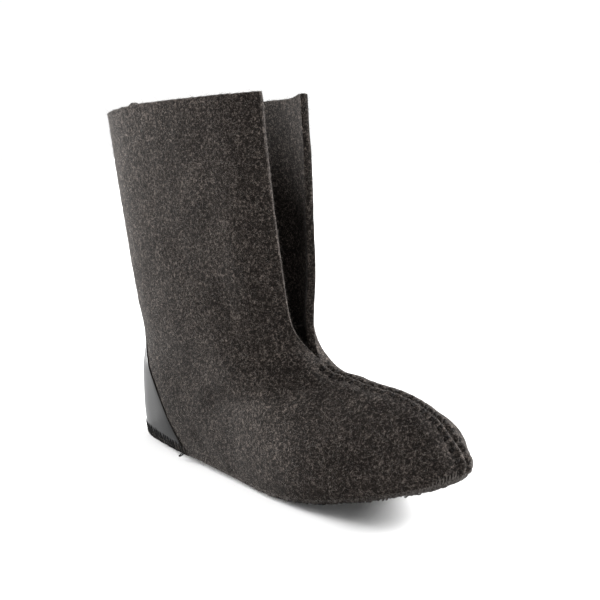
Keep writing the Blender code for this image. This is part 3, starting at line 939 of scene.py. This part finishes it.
def make_sole_thread(material, rng):
    """The thread that wraps the sole's edge, the chain above it and the slack loop at the heel."""
    fine = np.linspace(0, 2, FINE_TURNS)
    spots = around(JOINT, fine)
    pitch = np.interp(spots[:, 1], *SOLE_PITCHES)
    steps = np.linalg.norm(np.diff(spots, axis=0), axis=1) / pitch[1:]
    stitches = np.concatenate([[0], np.cumsum(steps)])
    count = int(stitches[-1])
    stitches *= count / stitches[-1]
    wrap = wrap_path(fine, stitches, count, rng)
    chain = chain_path(fine, stitches, count)
    parts = []
    for line, share in ((wrap, 1.0), (chain, CHAIN_THREAD), (loop_path(), LOOP_THREAD)):
        radius = share * np.interp(line[:, 1], HEEL_ZONE, (HEEL_THREAD, THREAD))
        line[:, 2] = np.maximum(line[:, 2], radius)
        parts.append(tube(line, radius))
    return solid_piece("sole_overlock", join(parts), material, "seam", ["sole_seam"])


def stitch_path(place_of, along, needle, lines, bold):
    """A stitch across a seam: it shows at its two needle holes and sinks into the felt between them."""
    places, ways, lifts = [], [], []
    for d in np.linspace(-needle - STITCH_REACH, needle + STITCH_REACH, STITCH_POINTS):
        u = float(np.interp(along + STITCH_SLANT * d, *lines))
        side = MEDIAL_SIDE if d > 0 else LATERAL
        point, normal = wall(u, side, np.array([place_of(u, side, abs(d))]))
        off = abs(abs(d) - needle)
        pit = bold * PIT_DEEP * bell(off, PIT_WIDE)
        sunk = STITCH_SUNK * min(max(off - STITCH_REACH, 0.0), 1.0)
        shown = STITCH_SHOWN - STITCH_FAINT * (1 - bold) - sunk
        places.append(point[0])
        ways.append(normal[0])
        lifts.append(NAP + lip_height(d) * (1 - PULL_SHARE) - pit + shown)
    places = np.array(places)
    lifts = np.array(lifts) + crease_lift(places)
    return soft_path(places + lifts[:, None] * np.array(ways), per_step=2)


def make_vamp_thread(material, rows, ridge_line):
    """Stitches across the ridge of the foot, sunk in the felt between their needle holes."""
    throat = ridge_line[(THROAT - JOINT) * FOOT_STEPS]
    parts = []
    for along in vamp_stitches(throat):
        needle = float(np.interp(along, *NEEDLE))
        bold = float(np.interp(along, *BOLD))
        path = stitch_path(lambda u, side, d: girth(u, side) - d, along, needle, (ridge_line, rows), bold)
        parts.append(tube(path, VAMP_THREAD))
    return solid_piece("vamp_overlock", join(parts), material, "seam", ["vamp_seam"])


def make_back_thread(material, rows, back_line):
    """Stitches across the seam up the back, and the end of their thread over the collar."""
    parts = []
    for along in back_stitches(rows, back_line):
        path = stitch_path(lambda u, side, d: d, along, BACK_NEEDLE, (back_line, rows), 1.0)
        parts.append(tube(path, BACK_THREAD))
    for shift in BACK_END_SHIFTS:
        side = MEDIAL_SIDE if shift > 0 else LATERAL
        path = []
        for u, lift, rise in BACK_END_LOOP:
            point, normal = wall(u, side, np.array([abs(shift)]))
            path.append(point[0] + lift * normal[0] + np.array([0, 0, rise]))
        parts.append(tube(soft_path(path, per_step=4), BACK_END_THREAD * THREAD))
    return solid_piece("back_overlock", join(parts), material, "seam", ["back_seam"])


# Loose fibres

def surface_samples(piece, count, rng, weigh):
    """Random points with normals on a piece, in millimetres along the foot."""
    mesh = piece.data
    mesh.calc_loop_triangles()
    corners = np.empty(len(mesh.loop_triangles) * 3, int)
    mesh.loop_triangles.foreach_get("vertices", corners)
    spots = np.empty(len(mesh.vertices) * 3)
    mesh.vertices.foreach_get("co", spots)
    spots = spots.reshape(-1, 3) / MM
    spots[:, 1] = MIDDLE_G - spots[:, 1]
    triangles = spots[corners.reshape(-1, 3)]
    normals = -np.cross(triangles[:, 1] - triangles[:, 0], triangles[:, 2] - triangles[:, 0])
    area = np.linalg.norm(normals, axis=1)
    normals /= np.maximum(area, TINY)[:, None]
    weight = area * weigh(triangles.mean(axis=1), normals)
    chosen = rng.choice(len(area), count, p=weight / weight.sum())
    a, b = rng.random(count), rng.random(count)
    flip = a + b > 1
    a[flip], b[flip] = 1 - a[flip], 1 - b[flip]
    first, second, third = triangles[chosen].transpose(1, 0, 2)
    points = first + a[:, None] * (second - first) + b[:, None] * (third - first)
    return points, normals[chosen]


def outside_weight(points, normals):
    """One on the outside of the liner, less on the inside and least deep inside."""
    middle = np.zeros(points.shape)
    middle[:, 1] = np.clip(points[:, 1], *FOOT_MIDDLE)
    middle[:, 2] = FOOT_MIDDLE_Z
    high = points[:, 2] > SHAFT_FROM
    middle[high, 1] = np.interp(points[high, 2], *SHAFT_MIDDLE)
    middle[high, 2] = points[high, 2]
    out = np.einsum("ij,ij->i", normals, points - middle)
    return np.where(out > 0, 1.0, np.interp(points[:, 2], *INSIDE))


def rim_weight(points, normals):
    """One where a face stands upright, as on the sole's rim, and nothing where it lies flat."""
    return np.clip(1 - RIM_UPRIGHT * np.abs(normals[:, 2]), 0, 1)


def make_fibres(name, samples, long, thick, stand, material, slot, rng):
    """Slender closed spikes, each lying over and bending back towards the felt."""
    points, normals = samples
    count = len(points)
    loose = rng.standard_normal((count, 3))
    loose -= normals * np.einsum("ij,ij->i", loose, normals)[:, None]
    loose = unit(loose)
    side = np.cross(normals, loose)
    length = rng.uniform(*long, count)[:, None]
    rise = rng.uniform(*stand, count)[:, None]
    swing = rng.uniform(-FIBRE_SWING, FIBRE_SWING, count)[:, None]
    line = [points]
    for along, off, aside in FIBRE_HALVES:
        line.append(line[-1] + length * (along * loose + off * rise * normals + aside * swing * side))
    middle, tip = line[1:]
    wide = rng.uniform(*thick, count)[:, None]
    spots = []
    for anchor, share in ((points - FIBRE_ROOT * normals, 1.0), (middle, FIBRE_TAPER)):
        for turn in FIBRE_CORNERS:
            spots.append(anchor + share * wide * (np.cos(turn) * side + np.sin(turn) * normals))
    spots.append(tip)
    spots = np.stack(spots, axis=1).reshape(-1, 3)
    spots[:, 2] = np.maximum(spots[:, 2], FIBRE_LOWEST)
    start = np.arange(count)[:, None] * FIBRE_POINTS
    faces = (start + np.array([0, 2, 1])).tolist()
    for a, b in ((0, 1), (1, 2), (2, 0)):
        faces += (start + np.array([a, b, b + 3, a + 3])).tolist()
        faces += (start + np.array([a + 3, b + 3, FIBRE_POINTS - 1])).tolist()
    mesh = bpy.data.meshes.new(name)
    mesh.from_pydata(place(spots).tolist(), [], faces)
    mesh.flip_normals()
    return new_piece(name, mesh, material, slot)


# Studio

def add_camera():
    """The camera at the photo's viewing angle."""
    turn, pitch = math.radians(38.72), math.radians(10.98)
    data = bpy.data.cameras.new("camera")
    data.lens, data.sensor_width = 52.62, 36.0
    camera = add_object("camera", data)
    camera.location = (-0.4867, -0.4160, 0.2523)
    look = Vector((math.cos(turn) * math.cos(pitch), math.sin(turn) * math.cos(pitch), -math.sin(pitch)))
    camera.rotation_euler = look.to_track_quat("-Z", "Y").to_euler()
    bpy.context.scene.camera = camera


def add_sun(name, way, spread, power):
    """A wide soft source that shines from this direction."""
    data = bpy.data.lights.new(name, "SUN")
    data.angle, data.energy = math.radians(spread), power
    lamp = add_object(name, data)
    lamp.location = way
    lamp.rotation_euler = (-Vector(way)).to_track_quat("-Z", "Y").to_euler()


def add_backdrop():
    """A white world, which gives off less light than it shows."""
    world = bpy.data.worlds.new("studio")
    world.use_nodes = True
    tree = world.node_tree
    sky = tree.nodes["Background"]
    sky.inputs["Color"].default_value = (1, 1, 1, 1)
    seen = add_node(tree, "ShaderNodeLightPath").outputs["Is Camera Ray"]
    strength = math_node(tree, "MULTIPLY", seen, BACKDROP - AMBIENT)
    tree.links.new(math_node(tree, "ADD", strength, AMBIENT), sky.inputs["Strength"])
    bpy.context.scene.world = world


def add_floor():
    """A plain pale floor, which shows the camera a lighter grey than it gives off."""
    mesh = bpy.data.meshes.new("floor")
    corners = ((-1, -1), (1, -1), (1, 1), (-1, 1))
    mesh.from_pydata([(FLOOR_HALF * x, FLOOR_HALF * y, 0) for x, y in corners], [], [(0, 1, 2, 3)])
    grey, lighter = (FLOOR_GREY,) * 3, (FLOOR_SEEN,) * 3
    material, tree, shader = new_material("floor", grey, roughness=0.8)
    seen = add_node(tree, "ShaderNodeLightPath").outputs["Is Camera Ray"]
    tree.links.new(ramp(tree, seen, ((0.0, grey), (1.0, lighter))), shader.inputs["Base Color"])
    mesh.materials.append(material)
    floor = add_object("floor", mesh)


def main():
    rng = np.random.default_rng(SEED)
    add_camera()
    bpy.context.scene.view_settings.view_transform = "Standard"
    add_backdrop()
    add_floor()
    for sun in SUNS:
        add_sun(*sun)
    felt = melange_felt("charcoal_felt", *UPPER_TONES)
    sole_felt = melange_felt("sole_felt", *SOLE_TONES)
    thread = sewing_thread("sole_thread", SOLE_THREAD_AND_HIGHLIGHT_STOPS)
    black_thread = sewing_thread("black_thread", BLACK_THREAD_STOPS)
    upper = make_upper(felt)
    sole = make_sole(sole_felt)
    make_patch(heel_vinyl())
    make_patch_edge(black_thread)
    make_sole_thread(thread, rng)
    # These two threads are measured along the last as it is before the collar sags
    rows, base = upper_grid()[:2]
    make_vamp_thread(black_thread, rows, line_lengths(base[:, 0]))
    make_back_thread(black_thread, rows, line_lengths(base[:, SIDE_COLUMNS]))
    fibres = {"pale": loose_fibre("pale_fibre", *PALE_FIBRE), "dark": loose_fibre("dark_fibre", *DARK_FIBRE)}
    carriers = {"felt": (upper, outside_weight), "sole_felt": (sole, rim_weight)}
    for name, slot, tone, count, long, thick, stand in NAPS:
        piece, weigh = carriers[slot]
        samples = surface_samples(piece, count, rng, weigh)
        make_fibres(name, samples, long, thick, stand, fibres[tone], slot, rng)


main()
